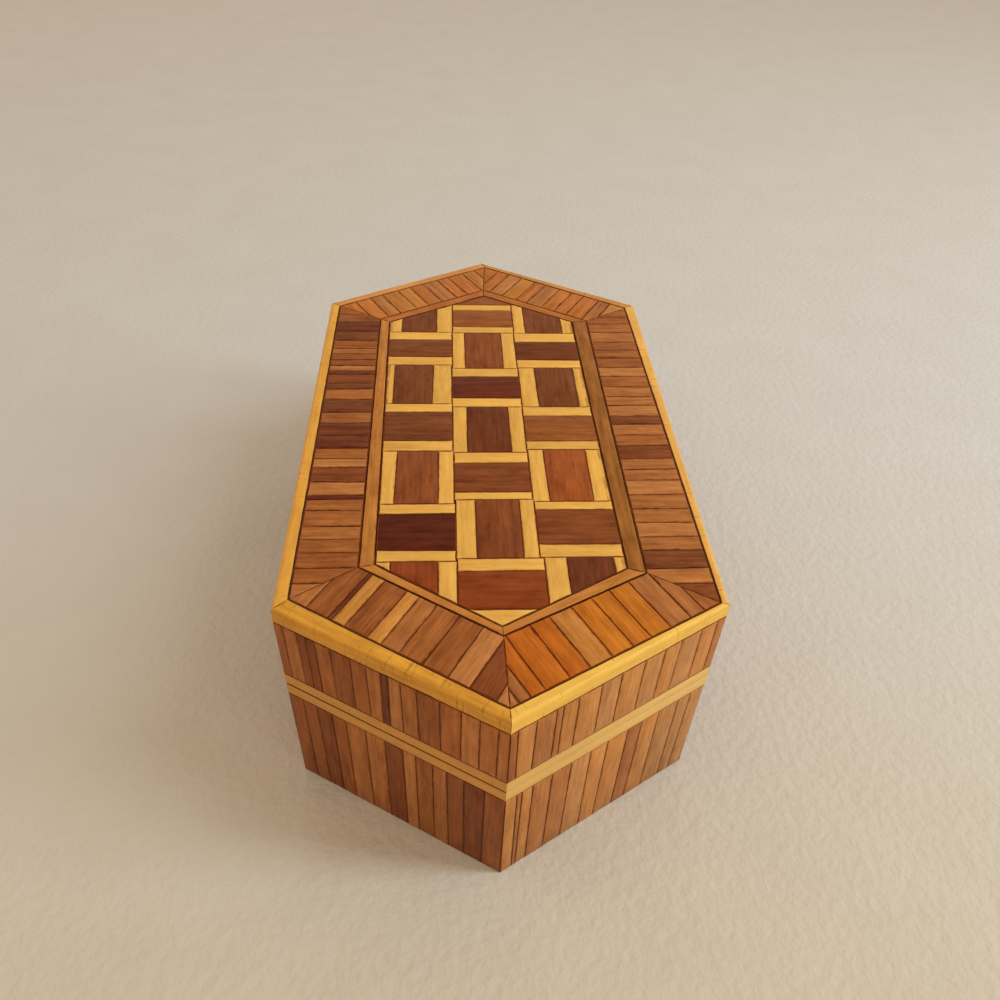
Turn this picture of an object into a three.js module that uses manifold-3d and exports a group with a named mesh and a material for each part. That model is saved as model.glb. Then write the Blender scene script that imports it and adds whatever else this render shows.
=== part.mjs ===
// Wood inlay trinket box: a long six-sided box with pointed ends and a lift-off lid.
//
// Thin boards make a hollow body and a hollow lid. Upright wood strips are glued side by side around
// both, with a light band along each edge of the joint between them. The top of the lid is inlaid:
// a light rounded edging, a crossband of short strips, a narrow stringing, and a basket weave of square
// tiles, each a dark block between two light strips.
//
// Millimetres, +Z up. The origin is the centre of the underside, and +Y runs along the box.

import * as THREE from 'three';
import { mergeVertices } from 'three/addons/utils/BufferGeometryUtils.js';
import Module from 'manifold-3d';

const wasm = await Module();
wasm.setup();

// Plan of the outside
const width = 60;
const straightLength = 78.5;
const pointLength = 17.5;

// Heights
const bodyHeight = 22.7;
const lidHeight = 15.6;
const jointGap = 0.2;

// Boards under the veneer
const wallThickness = 3.2;
const baseThickness = 3;
const lidBoardThickness = 3;

// Lip that keeps the lid in place, cut on the body's wall boards
const lipHeight = 2.5;
const lipThickness = 1.4;
const lipClearance = 0.3;

// Upright strips, and of the same stock the light bands along the joint and the edging round the lid
const stripThickness = 1.85;
const sideStripWidth = 2.6;
const bandHeight = 2;
const edgingHeight = 2.3;
const edgingRounding = 0.5;

// Inlay on the lid
const inlayThickness = 1.45;
const crossbandWidth = 8.15;
const crossStripWidth = 2.9;
const stringingWidth = 1.9;
const tilesAcross = 3;
const tilesAlong = 7;
const tileLightWidth = 2.25;
const firstRowSetback = 0.1;
const farTipLength = 3.45;

// Seams: the glue line between pieces, and the groove that marks a seam inside one node
const glueLine = 0.2;
const grooveWidth = 0.3;
const grooveDepth = 0.25;

// How much neighbouring strips differ in width, as a share, and how fast that changes along a row
const stripSpread = 0.18;
const stripBeat = 2.4;

// Relative widths of the strips in the rows at the near end, each row from the side's start.
// The strips there are the most uneven ones. Every other row follows the rule above.
const bodyRows = {
  near_right: [1.8, 0.8, 1.6, 3.1, 3.2, 3.3, 2.9, 3.5, 2.5, 3.2, 3.5, 2.3, 2.6],
  near_left: [2.6, 2.3, 2.5, 2.4, 3.1, 3, 2.9, 2.1, 2.6, 2.2, 2.6, 2.9, 3.1],
};
const lidRows = {
  near_right: [1.2, 2.6, 2.9, 1.1, 2.3, 3.6, 3.2, 3.8, 3.2, 2.9, 3.6, 2.8, 1.5],
  near_left: [1.5, 2.2, 1.4, 1.5, 2.3, 3.1, 2.4, 2, 1.1, 1.9, 2.4, 3.2, 3, 2.6, 2.4, 1.6],
};
const crossbandRows = {
  near_right: [1.3, 1.5, 2.1, 3.5, 2.9, 3.3, 3.2, 2.8, 3.1, 3.3, 2.3, 2.6],
  near_left: [2.7, 3.4, 0.7, 1.7, 3.5, 1.8, 2.7, 3.5, 3.6, 3.1, 3.6, 1.7],
};

// Extra reach of a cutting solid past what it cuts
const overcut = 1;

// Heights and depths worked out from the sizes above
const totalHeight = bodyHeight + lidHeight;
const bodyTop = bodyHeight - jointGap / 2;
const lidBottom = bodyHeight + jointGap / 2;
const inlayBottom = totalHeight - inlayThickness;
const edgingBottom = totalHeight - edgingHeight;
const lidBoardTop = inlayBottom - glueLine;
const lidBoardBottom = lidBoardTop - lidBoardThickness;
const boardInset = stripThickness + glueLine;
const wallInset = boardInset + wallThickness;
const crossbandInset = stripThickness + glueLine;
const stringingInset = crossbandInset + crossbandWidth + glueLine;
const fieldInset = stringingInset + stringingWidth + glueLine;
const endAngle = Math.atan2(pointLength, width / 2);

// Corners of the plan moved in by a given distance, counterclockwise from the near point
function hexagon(inset) {
  const halfWidth = width / 2 - inset;
  const tip = straightLength / 2 + pointLength - inset / Math.cos(endAngle);
  const shoulder = tip - halfWidth * Math.tan(endAngle);
  return [
    new THREE.Vector2(0, -tip),
    new THREE.Vector2(halfWidth, -shoulder),
    new THREE.Vector2(halfWidth, shoulder),
    new THREE.Vector2(0, tip),
    new THREE.Vector2(-halfWidth, shoulder),
    new THREE.Vector2(-halfWidth, -shoulder),
  ];
}

const sideNames = ['near_right', 'right', 'far_right', 'far_left', 'left', 'near_left'];

// Four plan corners of one side's panel between two insets, mitred at both ends and cut back by
// half a glue line: outer start, outer end, inner end, inner start
function panelOutline(side, outerInset, innerInset, endGap = glueLine) {
  const outer = hexagon(outerInset);
  const inner = hexagon(innerInset);
  const next = (side + 1) % outer.length;
  const along = outer[next].clone().sub(outer[side]).normalize();
  const cutBack = (corner) => {
    const mitre = inner[corner].clone().sub(outer[corner]).normalize();
    return endGap / 2 / Math.abs(along.cross(mitre));
  };
  const start = along.clone().multiplyScalar(cutBack(side));
  const end = along.clone().multiplyScalar(-cutBack(next));
  return [
    outer[side].clone().add(start),
    outer[next].clone().add(end),
    inner[next].clone().add(end),
    inner[side].clone().add(start),
  ];
}

// Places of the seams along a row of strips, from 0 to length, both ends included
function stripEdges(length, nominalWidth, phase, widths) {
  const count = Math.max(1, Math.round(length / nominalWidth));
  const byRule = Array.from({ length: count }, (_, i) => 1 + stripSpread * Math.sin(stripBeat * i + phase));
  const shares = widths ?? byRule;
  const total = shares.reduce((sum, share) => sum + share, 0);
  const edges = [0];
  for (const share of shares) {
    edges.push(edges[edges.length - 1] + (length * share) / total);
  }
  return edges;
}

function extrudeUp(outline, low, high, holes = []) {
  const shape = new THREE.Shape(outline);
  shape.holes = holes.map((hole) => new THREE.Path(hole));
  const geometry = new THREE.ExtrudeGeometry(shape, { depth: high - low, bevelEnabled: false });
  return geometry.translate(0, 0, low);
}

function toSolid(geometry) {
  const bare = geometry.clone();
  bare.deleteAttribute('normal');
  bare.deleteAttribute('uv');
  const merged = mergeVertices(bare, 1e-4);
  return new wasm.Manifold(new wasm.Mesh({
    numProp: 3,
    vertProperties: new Float32Array(merged.attributes.position.array),
    triVerts: new Uint32Array(merged.index.array),
  }));
}

function toGeometry(solid) {
  const mesh = solid.getMesh();
  const geometry = new THREE.BufferGeometry();
  geometry.setAttribute('position', new THREE.BufferAttribute(mesh.vertProperties, mesh.numProp));
  geometry.setIndex(new THREE.BufferAttribute(mesh.triVerts, 1));
  return geometry;
}

const finishes = {
  board: { color: 0x9c6b3a, roughness: 0.7 },
  strip: { color: 0x96602f, roughness: 0.5 },
  boxwood: { color: 0xd9a743, roughness: 0.4 },
  crossband: { color: 0xa4622c, roughness: 0.45 },
  stringing: { color: 0xa8703a, roughness: 0.45 },
  tile: { color: 0x7a3f22, roughness: 0.4 },
};

const box = new THREE.Group();

function addPiece(name, finish, geometry) {
  const material = new THREE.MeshStandardMaterial({ ...finishes[finish], metalness: 0 });
  const mesh = new THREE.Mesh(geometry, material);
  mesh.name = name;
  box.add(mesh);
}

// Full slab of the plan at one inset, such as the base
function slab(inset, low, high) {
  return extrudeUp(hexagon(inset), low, high);
}

// Closed band round the plan between two insets
function ring(outerInset, innerInset, low, high) {
  return extrudeUp(hexagon(outerInset), low, high, [hexagon(innerInset)]);
}

function panel(side, outerInset, innerInset, low, high, endGap) {
  return extrudeUp(panelOutline(side, outerInset, innerInset, endGap), low, high);
}

// Body wall board, with its inner part standing up as the lip
function bodyWall(side) {
  const board = toSolid(panel(side, boardInset, wallInset, baseThickness + glueLine, bodyTop));
  const lipInset = wallInset - lipThickness;
  const lip = toSolid(panel(side, lipInset, wallInset, baseThickness + overcut, bodyTop + lipHeight));
  return toGeometry(board.add(lip));
}

// Lid wall board, rebated inside to go over the lip
function lidWall(side) {
  const board = toSolid(panel(side, boardInset, wallInset, lidBottom, lidBoardBottom - glueLine));
  const rebateInset = wallInset - lipThickness - lipClearance;
  const rebateTop = bodyTop + lipHeight + lipClearance;
  const rebateBottom = lidBottom - overcut;
  const rebate = toSolid(panel(side, rebateInset, wallInset + overcut, rebateBottom, rebateTop, -overcut));
  return toGeometry(board.subtract(rebate));
}

// Row of upright strips on one side, with a groove at each seam
function uprightStrips(side, low, high, phase, widths) {
  const [start, end, innerEnd, innerStart] = panelOutline(side, 0, stripThickness);
  const along = end.clone().sub(start).normalize();
  const inward = new THREE.Vector2(-along.y, along.x);
  const outline = [start];
  const edges = stripEdges(start.distanceTo(end), sideStripWidth, phase, widths);
  for (const edge of edges.slice(1, -1)) {
    const seam = start.clone().addScaledVector(along, edge);
    outline.push(seam.clone().addScaledVector(along, -grooveWidth / 2));
    outline.push(seam.clone().addScaledVector(inward, grooveDepth));
    outline.push(seam.clone().addScaledVector(along, grooveWidth / 2));
  }
  outline.push(end, innerEnd, innerStart);
  return extrudeUp(outline, low, high);
}

// Outline across a row of flat pieces, length by thickness, with a groove in the top at each seam
function groovedSection(edges, low, high) {
  const section = new THREE.Shape();
  section.moveTo(edges[0], low);
  section.lineTo(edges[edges.length - 1], low);
  section.lineTo(edges[edges.length - 1], high);
  for (const edge of edges.slice(1, -1).reverse()) {
    section.lineTo(edge + grooveWidth / 2, high);
    section.lineTo(edge, high - grooveDepth);
    section.lineTo(edge - grooveWidth / 2, high);
  }
  section.lineTo(edges[0], high);
  return section;
}

// Extrudes a section, drawn along a plan direction and up, sideways to the right of that direction
function extrudeAcross(section, origin, along, reach) {
  const right = new THREE.Vector3(along.y, -along.x, 0);
  const place = new THREE.Matrix4();
  place.makeBasis(new THREE.Vector3(along.x, along.y, 0), new THREE.Vector3(0, 0, 1), right);
  place.setPosition(origin.x, origin.y, 0);
  return new THREE.ExtrudeGeometry(section, { depth: reach, bevelEnabled: false }).applyMatrix4(place);
}

// Short strips of the lid's crossband on one side, cut to the band's mitred outline
function crossbandPanel(side, phase, widths) {
  const innerInset = crossbandInset + crossbandWidth;
  const [start, end] = panelOutline(side, crossbandInset, innerInset);
  const along = end.clone().sub(start).normalize();
  const inward = new THREE.Vector2(-along.y, along.x);
  const length = start.distanceTo(end);
  const edges = stripEdges(length, crossStripWidth, phase, widths);
  edges[0] -= overcut;
  edges[edges.length - 1] += overcut;
  const section = groovedSection(edges, inlayBottom, totalHeight);
  const origin = start.clone().addScaledVector(inward, crossbandWidth + overcut);
  const strips = toSolid(extrudeAcross(section, origin, along, crossbandWidth + 2 * overcut));
  const trim = toSolid(panel(side, crossbandInset, innerInset, inlayBottom - overcut, totalHeight + overcut));
  return toGeometry(strips.intersect(trim));
}

// Grooves over the six mitres of a flat ring, as one cutting solid
function mitreGrooves(outerInset, innerInset) {
  const outer = hexagon(outerInset - overcut);
  const inner = hexagon(innerInset + overcut);
  const cuts = outer.map((corner, i) => {
    const along = inner[i].clone().sub(corner);
    const reach = along.length();
    along.normalize();
    const section = new THREE.Shape([
      new THREE.Vector2(-grooveWidth / 2, totalHeight + glueLine),
      new THREE.Vector2(0, totalHeight - grooveDepth),
      new THREE.Vector2(grooveWidth / 2, totalHeight + glueLine),
    ]);
    const across = new THREE.Vector2(-along.y, along.x);
    return toSolid(extrudeAcross(section, corner, across, reach));
  });
  return cuts.reduce((all, cut) => all.add(cut));
}

// Edging along the lid's top edge, with its outer corner rounded over
function edging() {
  const blank = new THREE.ExtrudeGeometry(new THREE.Shape(hexagon(0)), {
    depth: edgingHeight,
    bevelThickness: edgingRounding,
    bevelSize: edgingRounding,
    bevelOffset: -edgingRounding,
    bevelSegments: 3,
  });
  blank.translate(0, 0, totalHeight - edgingRounding - edgingHeight);
  const rounded = toSolid(blank);
  const band = toSolid(ring(-overcut, stripThickness, edgingBottom, totalHeight + overcut));
  return toGeometry(rounded.intersect(band).subtract(mitreGrooves(0, stripThickness)));
}

function stringing() {
  const innerInset = stringingInset + stringingWidth;
  const flat = toSolid(ring(stringingInset, innerInset, inlayBottom, totalHeight));
  return toGeometry(flat.subtract(mitreGrooves(stringingInset, innerInset)));
}

// Basket weave: nearly square tiles in rows, laid from the field's near point
const fieldOutline = hexagon(fieldInset);
const fieldHalfWidth = fieldOutline[1].x;
const fieldTip = fieldOutline[3].y;
const firstRowStart = -fieldTip + firstRowSetback;
const columnPitch = (2 * fieldHalfWidth) / tilesAcross;
const rowPitch = (fieldTip - farTipLength - firstRowStart) / tilesAlong;
const rowLetters = 'abcdefghijklmnopqrst';

// Cuts a blank of the field's thickness to the field's outline
function cutToField(blank) {
  const field = toSolid(slab(fieldInset, inlayBottom - overcut, totalHeight + overcut));
  return toGeometry(toSolid(blank).intersect(field));
}

// One tile, or the part of it inside the field: two light strips with a dark block between them.
// Its strips run along the box on every other tile, and across it on the rest.
function tile(column, row) {
  const middle = (column - (tilesAcross - 1) / 2) * columnPitch;
  const near = firstRowStart + row * rowPitch + glueLine / 2;
  const far = near + rowPitch - glueLine;
  const left = middle - (columnPitch - glueLine) / 2;
  const right = middle + (columnPitch - glueLine) / 2;
  const blankLeft = column === 0 ? left - overcut : left;
  const blankRight = column === tilesAcross - 1 ? right + overcut : right;
  const blankNear = row === 0 ? near - overcut : near;
  if ((row + column) % 2 === 0) {
    const edges = [blankLeft, left + tileLightWidth, right - tileLightWidth, blankRight];
    const section = groovedSection(edges, inlayBottom, totalHeight);
    const origin = new THREE.Vector2(0, far);
    return cutToField(extrudeAcross(section, origin, new THREE.Vector2(1, 0), far - blankNear));
  }
  const edges = [blankNear, near + tileLightWidth, far - tileLightWidth, far];
  const section = groovedSection(edges, inlayBottom, totalHeight);
  const origin = new THREE.Vector2(blankLeft, 0);
  return cutToField(extrudeAcross(section, origin, new THREE.Vector2(0, 1), blankRight - blankLeft));
}

// Piece that fills the field's far point, past the last row
function farTip() {
  const start = fieldTip - farTipLength + glueLine / 2;
  const blank = [
    new THREE.Vector2(-fieldHalfWidth, start),
    new THREE.Vector2(fieldHalfWidth, start),
    new THREE.Vector2(fieldHalfWidth, fieldTip + overcut),
    new THREE.Vector2(-fieldHalfWidth, fieldTip + overcut),
  ];
  return cutToField(extrudeUp(blank, inlayBottom, totalHeight));
}

addPiece('base_board', 'board', slab(boardInset, 0, baseThickness));
addPiece('lid_board', 'board', slab(boardInset, lidBoardBottom, lidBoardTop));
addPiece('body_joint_band', 'boxwood', ring(0, stripThickness, bodyTop - bandHeight, bodyTop));
addPiece('lid_joint_band', 'boxwood', ring(0, stripThickness, lidBottom, lidBottom + bandHeight));

const bodyStripsTop = bodyTop - bandHeight - glueLine;
const lidStripsBottom = lidBottom + bandHeight + glueLine;
const lidStripsTop = edgingBottom - glueLine;
const lidPhase = 1.9;
const crossbandPhase = 0.7;
sideNames.forEach((name, side) => {
  const bodyStrips = uprightStrips(side, 0, bodyStripsTop, side, bodyRows[name]);
  const lidStrips = uprightStrips(side, lidStripsBottom, lidStripsTop, side + lidPhase, lidRows[name]);
  const crossStrips = crossbandPanel(side, side + crossbandPhase, crossbandRows[name]);
  addPiece(`body_wall_${name}`, 'board', bodyWall(side));
  addPiece(`body_strips_${name}`, 'strip', bodyStrips);
  addPiece(`lid_wall_${name}`, 'board', lidWall(side));
  addPiece(`lid_strips_${name}`, 'strip', lidStrips);
  addPiece(`lid_crossband_${name}`, 'crossband', crossStrips);
});

addPiece('lid_edging', 'boxwood', edging());
addPiece('lid_stringing', 'stringing', stringing());
for (let row = 0; row < tilesAlong; row += 1) {
  for (let column = 0; column < tilesAcross; column += 1) {
    addPiece(`lid_tile_${rowLetters[row]}${column + 1}`, 'tile', tile(column, row));
  }
}
addPiece('lid_far_tip', 'tile', farTip());

export default box;
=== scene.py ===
"""Looks of the wood inlay trinket box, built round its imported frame.

Every strip, tile and band is its own piece of veneer. Its flat outline is worked out here, and a tree of
Geometry Nodes gives it its thickness, its rounded edges and the coordinates that its grain follows.
Plan sizes are in millimetres, and meshes are made in metres.
"""

import math
import random

import bpy
from mathutils import Matrix, Vector, noise


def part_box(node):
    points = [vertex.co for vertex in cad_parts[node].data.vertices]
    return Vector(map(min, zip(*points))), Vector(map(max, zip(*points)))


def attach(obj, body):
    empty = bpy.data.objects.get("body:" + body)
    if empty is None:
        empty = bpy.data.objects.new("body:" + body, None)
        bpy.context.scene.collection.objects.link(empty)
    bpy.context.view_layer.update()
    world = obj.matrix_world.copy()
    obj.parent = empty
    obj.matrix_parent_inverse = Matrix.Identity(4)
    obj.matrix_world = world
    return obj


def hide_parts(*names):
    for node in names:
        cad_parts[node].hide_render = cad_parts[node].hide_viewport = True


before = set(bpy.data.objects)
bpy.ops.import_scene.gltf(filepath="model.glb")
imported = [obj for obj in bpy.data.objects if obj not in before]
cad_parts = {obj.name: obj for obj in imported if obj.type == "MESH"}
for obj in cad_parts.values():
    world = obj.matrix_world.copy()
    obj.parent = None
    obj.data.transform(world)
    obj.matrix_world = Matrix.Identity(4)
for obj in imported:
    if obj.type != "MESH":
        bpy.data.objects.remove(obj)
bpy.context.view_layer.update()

# A millimetre in metres, and a distance in millimetres that is too small to matter
MM = 0.001
HAIR = 0.01
SIDES = ["near_right", "right", "far_right", "far_left", "left", "near_left"]

# Seams and edges, in millimetres. A sawn edge wanders in by up to EDGE_WANDER at points EDGE_STEP apart, with
# WANDER_TURNS turns to a millimetre. LEAN is how far the ends of a strip stray, and TILE_LEAN the slope of a
# seam within a tile. OVERHANG is what a strip is left longer than its place before it is cut to a mitre.
SEAM = 0.06
EDGE_WANDER = 0.11
EDGE_STEP = 0.9
WANDER_TURNS = 0.8
LEAN = 0.14
TILE_LEAN = 0.012
OVERHANG = 2.0
STRIP_ROUNDING = 0.05
STRIP_ROUNDING_STEPS = 2
EDGING_ROUNDING = 0.5
EDGING_ROUNDING_STEPS = 5
SHARP_ANGLE = math.radians(35)
SHARPEST_CORNER = 0.3

# Each strip's face is lower by its own lot of UNEVEN, and the glue in the seams by GLUE_DEPTH. SEED draws the
# lots, LOTS is how many there are, and NOISE_SPAN is the stretch of noise that sawn edges are taken from.
UNEVEN = 0.03
GLUE_DEPTH = 0.09
SEED = 7
LOTS = 10000.0
NOISE_SPAN = 100

# Gap between lid and body at both ends of each of the SIDES: the lid sits down on the right, and stays up a
# little on the left
JOINT_GAPS = [(0.02, 0.02), (0.02, 0.02), (0.02, 0.1), (0.1, 0.25), (0.25, 0.42), (0.42, 0.36)]

# How far the seam along the inner edge of each ring strays at each corner of the plan, because the rings were
# laid by hand
RING_STRAY = {
    "edging": [(-0.06, -0.14), (0.73, -0.79), (-0.15, -0.05), (0.62, 0.15), (-0.09, -0.1), (0.12, 0.74)],
    "crossband": [(-0.29, 0.89), (0.1, -0.1), (-0.09, -0.25), (0, 0), (-0.36, -0.04), (0.34, 1.5)],
    "stringing": [(-0.35, 0), (-0.35, -0.4), (-0.95, 0.55), (0, 0), (-0.6, 0), (0.5, 0.78)],
}

# Rows of strips: their widths where the photo shows them, and the rule for the rest
SIDE_STRIP_WIDTH = 2.6
CROSS_STRIP_WIDTH = 2.9
STRIP_SPREAD = 0.18
STRIP_BEAT = 2.4
LID_PHASE = 1.9
CROSSBAND_PHASE = 0.7
BODY_ROWS = {
    "near_right": [1.8, 0.8, 1.6, 3.1, 3.2, 3.3, 2.9, 3.5, 2.5, 3.2, 3.5, 2.3, 2.6],
    "near_left": [2.6, 2.3, 2.5, 2.4, 3.1, 3, 2.9, 2.1, 2.6, 2.2, 2.6, 2.9, 3.1],
}
LID_ROWS = {
    "near_right": [1.2, 2.6, 2.9, 1.1, 2.3, 3.6, 3.2, 3.8, 3.2, 2.9, 3.6, 2.8, 1.5],
    "near_left": [1.5, 2.2, 1.4, 1.5, 2.3, 3.1, 2.4, 2, 1.1, 1.9, 2.4, 3.2, 3, 2.6, 2.4, 1.6],
}
CROSSBAND_ROWS = {
    "near_right": [1.3, 1.5, 2.1, 3.5, 2.9, 3.3, 3.2, 2.8, 3.1, 3.3, 2.3, 2.6],
    "near_left": [2.7, 3.4, 0.7, 1.9, 3.4, 2, 2.6, 3.4, 3.6, 3.1, 3.6, 1.7],
    "right": [
        3.4, 2.75, 3.5, 2.5, 2.9, 2.9, 3, 3.3, 2.5, 2.5, 3.3, 2.7, 2.8,
        2.3, 2.9, 2.5, 2.9, 3.2, 2.7, 3.1, 2.5, 2.7, 3.4, 3.1, 2.5, 3.4,
    ],
    "left": [
        3, 3, 3.3, 3.4, 2.7, 1.7, 2, 1.95, 1.65, 1.1, 2.7, 1.8, 3, 3.7, 2.9,
        3.3, 3.3, 2.7, 2, 3.5, 2.95, 0.95, 2.4, 3.3, 2.6, 2.6, 2.9, 2.8, 2.7,
    ],
}

# Woods, as the colour that a planed and lacquered face shows in white light (sRGB). The lit and shaded copies
# of some woods hold painted light.
WOODS = {
    "maple": (231, 173, 82),
    "boxwood": (224, 158, 58),
    # Copies of boxwood for the edging: partly their own tones, partly painted light and painted shade
    "old_boxwood": (209, 144, 43),
    "light_boxwood": (234, 171, 78),
    "pale_boxwood": (247, 192, 80),
    "lime": (202, 141, 66),
    # A paler copy of lime, as painted window light on the near-right and right joint bands
    "holly": (235, 186, 102),
    "straw": (204, 136, 62),
    # Tan and fawn made paler and pinker, as painted window light and painted lacquer reflection on the
    # near-right
    "beech": (199, 131, 68),
    "pear": (193, 131, 74),
    "fawn": (182, 115, 61),
    "cherry": (190, 121, 55),
    "amber": (194, 112, 34),
    "cedar": (186, 109, 50),
    "orange": (187, 99, 28),
    "tan": (175, 107, 55),
    "olive": (157, 97, 42),
    "ginger": (163, 95, 46),
    "sienna": (155, 79, 35),
    "brown": (151, 85, 40),
    "chestnut": (135, 71, 35),
    "russet": (137, 62, 25),
    "walnut": (123, 66, 34),
    "umber": (112, 56, 29),
    "mulberry": (108, 47, 26),
    "plum": (90, 35, 18),
}
SIDE_GLUE = (132, 76, 38)
INLAY_GLUE = (128, 66, 29)
BODY_WOODS = {
    # The near-left body row takes darker woods: partly its own woods, partly painted shade away from the
    # window
    "near_left": "brown brown chestnut brown tan tan chestnut fawn ginger tan brown chestnut brown",
    # The near-right rows take paler, pinker tan and fawn: painted window light and painted reflection
    "near_right": "beech fawn beech fawn fawn pear beech beech tan beech pear pear pear",
}
LID_WOODS = {
    "near_left": (
        "ginger tan chestnut chestnut ginger brown ginger tan "
        "umber fawn tan brown ginger fawn tan tan"
    ),
    # The near-right rows take paler, pinker tan and fawn: painted window light and painted reflection
    "near_right": "ginger beech fawn tan beech beech pear beech pear beech pear beech fawn",
}
CROSSBAND_WOODS = {
    "near_left": "tan brown umber straw brown straw tan ginger brown fawn chestnut fawn",
    "near_right": "fawn tan orange orange orange cherry amber amber amber tan tan ginger",
    "far_right": "beech tan cedar cedar cedar fawn cedar cherry fawn cedar cedar cedar",
    "far_left": "cedar cherry cedar cedar fawn cedar cherry cherry fawn cedar cedar cedar",
    "right": (
        "chestnut tan walnut tan fawn tan tan fawn tan tan chestnut ginger tan "
        "walnut fawn tan tan ginger fawn brown ginger ginger tan ginger brown ginger"
    ),
    "left": (
        "ginger brown umber walnut brown tan brown brown tan umber chestnut walnut ginger walnut ginger "
        "umber umber ginger fawn chestnut fawn mulberry ginger ginger tan ginger brown brown tan"
    ),
}
LOOSE_WOODS = "ginger tan brown ginger fawn chestnut tan ginger brown tan ginger fawn brown".split()
LOOSE_STEP = 5
LOOSE_TURN = 3

# Woods of the rings, a strip for each of the SIDES
STRINGING_WOODS = "cherry olive cedar cedar cherry cherry".split()
# The edging is paler on the window's sides and darker on the near-left: partly own tones, partly painted
# light
EDGING_WOODS = "pale_boxwood light_boxwood straw straw boxwood old_boxwood".split()
# The joint bands on the near-right and right take a paler copy of lime, as painted window light
JOINT_WOODS = "holly holly lime lime lime lime".split()
TILE_LIGHT_WOOD = "maple"
FAR_TIP_WOOD = "brown"

# Painted shade: how much darker the body is made towards its foot than at its upper edge. How far the
# lightness of single strips strays from their wood's own
PAINTED_FOOT_SHADE = 0.2
TONE_SPREAD = 0.07

# The basket weave, from the near row to the far one: dark blocks, widths of the light strips at both sides of
# each tile, and how far the seams between columns and between rows stray from an even layout
TILE_ROWS = "abcdefg"
TILE_WOODS = [
    "russet russet umber",
    "plum chestnut chestnut",
    "chestnut chestnut sienna",
    "walnut umber brown",
    "walnut mulberry walnut",
    "walnut chestnut umber",
    "walnut brown walnut",
]
TILE_LIGHTS = [
    [(2.35, 2.55), (2.6, 2.35), (3.1, 1.0)],
    [(2.1, 2.1), (2.9, 2.2), (2.5, 1.8)],
    [(2.35, 2.4), (1.65, 2.6), (2.5, 2.1)],
    [(2.6, 2.35), (2.35, 2.45), (2.15, 2.55)],
    [(1.0, 3.3), (2.5, 2.6), (2.9, 1.35)],
    [(2.65, 2.65), (2.3, 2.45), (2.5, 3.1)],
    [(1.8, 3.0), (2.15, 2.2), (2.2, 1.7)],
]
COLUMN_STRAY = [
    (0.1, -0.15, 0.15, -0.8),
    (0.1, -0.3, -0.35, -0.8),
    (0, -0.45, -0.5, -0.9),
    (0, -0.6, -0.55, -1),
    (0, -0.65, -0.55, -1.1),
    (-0.1, -0.55, -0.65, -1.2),
    (-0.1, -0.45, -0.6, -1.3),
]
ROW_STRAY = [
    (0, 0, 0),
    (-0.3, 0.2, 0.3),
    (-0.2, 0.65, 0.2),
    (0.5, 0.2, 0.85),
    (1.6, 0.7, 0.75),
    (1.75, 0.75, 0.95),
    (1.3, 1.1, 1.1),
    (0, 0, 0),
]

# Patterns of the grain: turns to a millimetre across it and along it, detail and roughness
PATTERNS = {
    "fibre": (5.5, 0.5, 3.0, 0.6),
    "bands": (1.5, 0.11, 3.0, 0.6),
    "blotch": (0.5, 0.22, 3.0, 0.6),
    "pores": (4.5, 0.45, 2.0, 0.5),
    "ragged": (1.6, 0.8, 3.0, 0.6),
    "patches": (0.7, 0.3, 2.0, 0.6),
    "nicks": (0.25, 2.6, 2.0, 0.6),
}

# Between which values of a pattern its marks come up
PORE_RANGE = (0.58, 0.7)
PATCH_RANGE = (0.36, 0.62)
NICK_RANGE = (0.6, 0.68)
NICK_PLACES = (0.42, 0.55)

# Shares of the patterns in the streaks. The lighter a wood is, the fainter are its streaks and pores.
STREAK_SHARES = {"fibre": 0.7, "bands": 2.2, "blotch": 1.6}
DARK_WOOD_FIGURE = 1.15
LIGHT_WOOD_LOSS = 0.95

# The glue's stain along sawn edges: its width and how ragged it is, in millimetres, and its strength outside
# its patches and what they add
STAIN_WIDTH = 0.3
STAIN_RAGGED = 0.7
STAIN_LEAST = 0.25
STAIN_PATCHES = 1.1

# Heights above a strip's face, in millimetres, between which the wall of a seam goes from shaded to light
WALL_RANGE = (-0.16, -0.05)

# Where wood darkens, its red, green and blue fall by these powers, and never below the darkest share
CHANNEL_POWERS = (1.0, 1.25, 1.45)
DARKEST = 0.02

# How far a strip's own lots shift its grain, in millimetres, and how much the gloss changes over a face
LOT_SHIFTS = (70.0, 90.0, 40.0)
GLOSS_SPREAD = 0.2
PORE_DULLNESS = 0.15

# Relief of a finish: its strength, and its height in millimetres
GRAIN_RELIEF = (0.4, 0.03)
CLOTH_RELIEF = (0.5, 0.6)

# The plain board, and the cloth that the box stands on: tones, and turns to a metre with detail of the noise
BOARD_TONES = ((150, 104, 60), (186, 138, 88))
BOARD_GRAIN = (900.0, 60.0, 900.0)
BOARD_DETAIL = 4.0
BOARD_ROUGHNESS = 0.65
NEAR_CLOTH = {"tones": ((204, 187, 158), (218, 202, 175)), "noise": (110.0, 5.0)}
FAR_CLOTH = {"tones": ((206, 199, 191), (214, 208, 201)), "noise": (60.0, 3.0)}
CLOTH_CHANGE = (-0.15, 0.06)
CLOTH_NAP = (600.0, 4.0)
CLOTH_ROUGHNESS = 0.95
CLOTH_SHEEN = 0.1

# Light of the room: a window on the right, low and bluish against the warm room. Places are in metres.
ROOM_COLOUR = (1.0, 0.86, 0.675, 1)
ROOM_STRENGTH = 0.72
WINDOW_SPOT = (0.481, -0.102, 0.344)
WINDOW_SIZE = (0.12, 0.7)
WINDOW_POWER = 2.55
WINDOW_COLOUR = (0.68, 0.85, 1.0)
FLOOR_REACH = 3.0

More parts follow.
